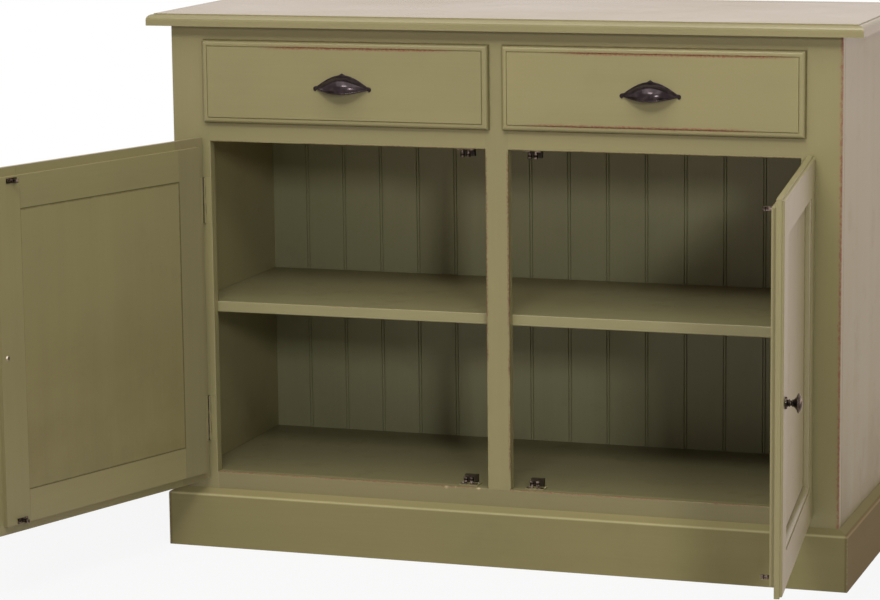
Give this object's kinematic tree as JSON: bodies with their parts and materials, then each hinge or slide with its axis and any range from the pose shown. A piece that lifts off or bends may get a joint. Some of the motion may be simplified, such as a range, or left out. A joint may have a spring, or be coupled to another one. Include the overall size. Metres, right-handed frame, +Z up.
{
  "type": "kitchen base cabinet",
  "caption": "Painted wooden base cabinet with moulded top and plinth, lipped drawers with cup pulls above, and lipped panelled doors on butt hinges over a shelf.",
  "frame": {"origin": "on the floor at the middle of the case, under the bearer below the bottom board", "axes": "+X to the right along the front, +Y to the back, +Z up; the doors and drawers face -Y"},
  "size_m": [1.3061, 0.9285, 0.9],
  "materials": {
    "olive_paint": "satin olive paint",
    "inside_paint": "satin olive paint",
    "drawer_wood": "bare wood",
    "dark_bronze": "dark bronze",
    "catch_steel": "dark zinc",
    "roller_metal": "bright zinc"
  },
  "bodies": {
    "case": {"top_board": "olive_paint", "side_panel_left": "olive_paint", "side_panel_right": "olive_paint", "frame_stile_left": "olive_paint", "frame_stile_right": "olive_paint", "frame_stile_centre": "olive_paint", "frame_rail_top": "olive_paint", "frame_rail_middle": "olive_paint", "frame_rail_bottom": "olive_paint", "bottom_board": "olive_paint", "shelf": "olive_paint", "plinth_frame": "olive_paint", "back_boards": "inside_paint", "drawer_deck": "drawer_wood", "drawer_divider": "drawer_wood", "plinth_bearer": "drawer_wood", "left_upper_hinge_frame_leaf": "dark_bronze", "left_lower_hinge_frame_leaf": "dark_bronze", "right_upper_hinge_frame_leaf": "dark_bronze", "right_lower_hinge_frame_leaf": "dark_bronze", "left_upper_catch_bracket": "catch_steel", "left_lower_catch_bracket": "catch_steel", "right_upper_catch_bracket": "catch_steel", "right_lower_catch_bracket": "catch_steel"},
    "left_drawer": {"drawer_front_left": "olive_paint", "drawer_box_left": "drawer_wood", "drawer_bottom_left": "drawer_wood", "cup_pull_left": "dark_bronze"},
    "right_drawer": {"drawer_front_right": "olive_paint", "drawer_box_right": "drawer_wood", "drawer_bottom_right": "drawer_wood", "cup_pull_right": "dark_bronze"},
    "left_door": {"left_door_stile_hinge": "olive_paint", "left_door_stile_free": "olive_paint", "left_door_rail_top": "olive_paint", "left_door_rail_bottom": "olive_paint", "left_door_panel": "olive_paint", "left_door_knob": "dark_bronze", "left_upper_hinge_door_leaf": "dark_bronze", "left_lower_hinge_door_leaf": "dark_bronze", "left_upper_strike": "catch_steel", "left_lower_strike": "catch_steel"},
    "right_door": {"right_door_stile_hinge": "olive_paint", "right_door_stile_free": "olive_paint", "right_door_rail_top": "olive_paint", "right_door_rail_bottom": "olive_paint", "right_door_panel": "olive_paint", "right_door_knob": "dark_bronze", "right_upper_hinge_door_leaf": "dark_bronze", "right_lower_hinge_door_leaf": "dark_bronze", "right_upper_strike": "catch_steel", "right_lower_strike": "catch_steel"},
    "left_upper_catch_roller_left": {"left_upper_catch_roller_left": "roller_metal"},
    "left_upper_catch_roller_right": {"left_upper_catch_roller_right": "roller_metal"},
    "left_lower_catch_roller_left": {"left_lower_catch_roller_left": "roller_metal"},
    "left_lower_catch_roller_right": {"left_lower_catch_roller_right": "roller_metal"},
    "right_upper_catch_roller_left": {"right_upper_catch_roller_left": "roller_metal"},
    "right_upper_catch_roller_right": {"right_upper_catch_roller_right": "roller_metal"},
    "right_lower_catch_roller_left": {"right_lower_catch_roller_left": "roller_metal"},
    "right_lower_catch_roller_right": {"right_lower_catch_roller_right": "roller_metal"}
  },
  "joints": [
    {"name": "left_door_hinge", "type": "hinge", "parent": "case", "child": "left_door", "pos_m": [-0.5118, -0.216, 0.4], "axis": [0, 0, -1], "range_deg": [-109, 9]},
    {"name": "right_door_hinge", "type": "hinge", "parent": "case", "child": "right_door", "pos_m": [0.5118, -0.216, 0.4], "axis": [0, 0, 1], "range_deg": [-97, 21]},
    {"name": "left_drawer_slide", "type": "slide", "parent": "case", "child": "left_drawer", "axis": [0, -1, 0], "range_m": [0, 0.3]},
    {"name": "right_drawer_slide", "type": "slide", "parent": "case", "child": "right_drawer", "axis": [0, -1, 0], "range_m": [0, 0.3]},
    {"name": "left_upper_catch_roller_left_slide", "type": "slide", "parent": "case", "child": "left_upper_catch_roller_left", "axis": [-1, 0, 0], "range_m": [0, 0.002], "stiffness_N_per_m": 1500},
    {"name": "left_upper_catch_roller_right_slide", "type": "slide", "parent": "case", "child": "left_upper_catch_roller_right", "axis": [1, 0, 0], "range_m": [0, 0.002], "stiffness_N_per_m": 1500},
    {"name": "left_lower_catch_roller_left_slide", "type": "slide", "parent": "case", "child": "left_lower_catch_roller_left", "axis": [-1, 0, 0], "range_m": [0, 0.002], "stiffness_N_per_m": 1500},
    {"name": "left_lower_catch_roller_right_slide", "type": "slide", "parent": "case", "child": "left_lower_catch_roller_right", "axis": [1, 0, 0], "range_m": [0, 0.002], "stiffness_N_per_m": 1500},
    {"name": "right_upper_catch_roller_left_slide", "type": "slide", "parent": "case", "child": "right_upper_catch_roller_left", "axis": [-1, 0, 0], "range_m": [0, 0.002], "stiffness_N_per_m": 1500},
    {"name": "right_upper_catch_roller_right_slide", "type": "slide", "parent": "case", "child": "right_upper_catch_roller_right", "axis": [1, 0, 0], "range_m": [0, 0.002], "stiffness_N_per_m": 1500},
    {"name": "right_lower_catch_roller_left_slide", "type": "slide", "parent": "case", "child": "right_lower_catch_roller_left", "axis": [-1, 0, 0], "range_m": [0, 0.002], "stiffness_N_per_m": 1500},
    {"name": "right_lower_catch_roller_right_slide", "type": "slide", "parent": "case", "child": "right_lower_catch_roller_right", "axis": [1, 0, 0], "range_m": [0, 0.002], "stiffness_N_per_m": 1500}
  ],
  "couplings": [
    {"joint": "left_upper_catch_roller_left_slide", "follows": "left_upper_catch_roller_right_slide", "ratio": 1},
    {"joint": "left_lower_catch_roller_left_slide", "follows": "left_lower_catch_roller_right_slide", "ratio": 1},
    {"joint": "right_upper_catch_roller_left_slide", "follows": "right_upper_catch_roller_right_slide", "ratio": 1},
    {"joint": "right_lower_catch_roller_left_slide", "follows": "right_lower_catch_roller_right_slide", "ratio": 1}
  ]
}
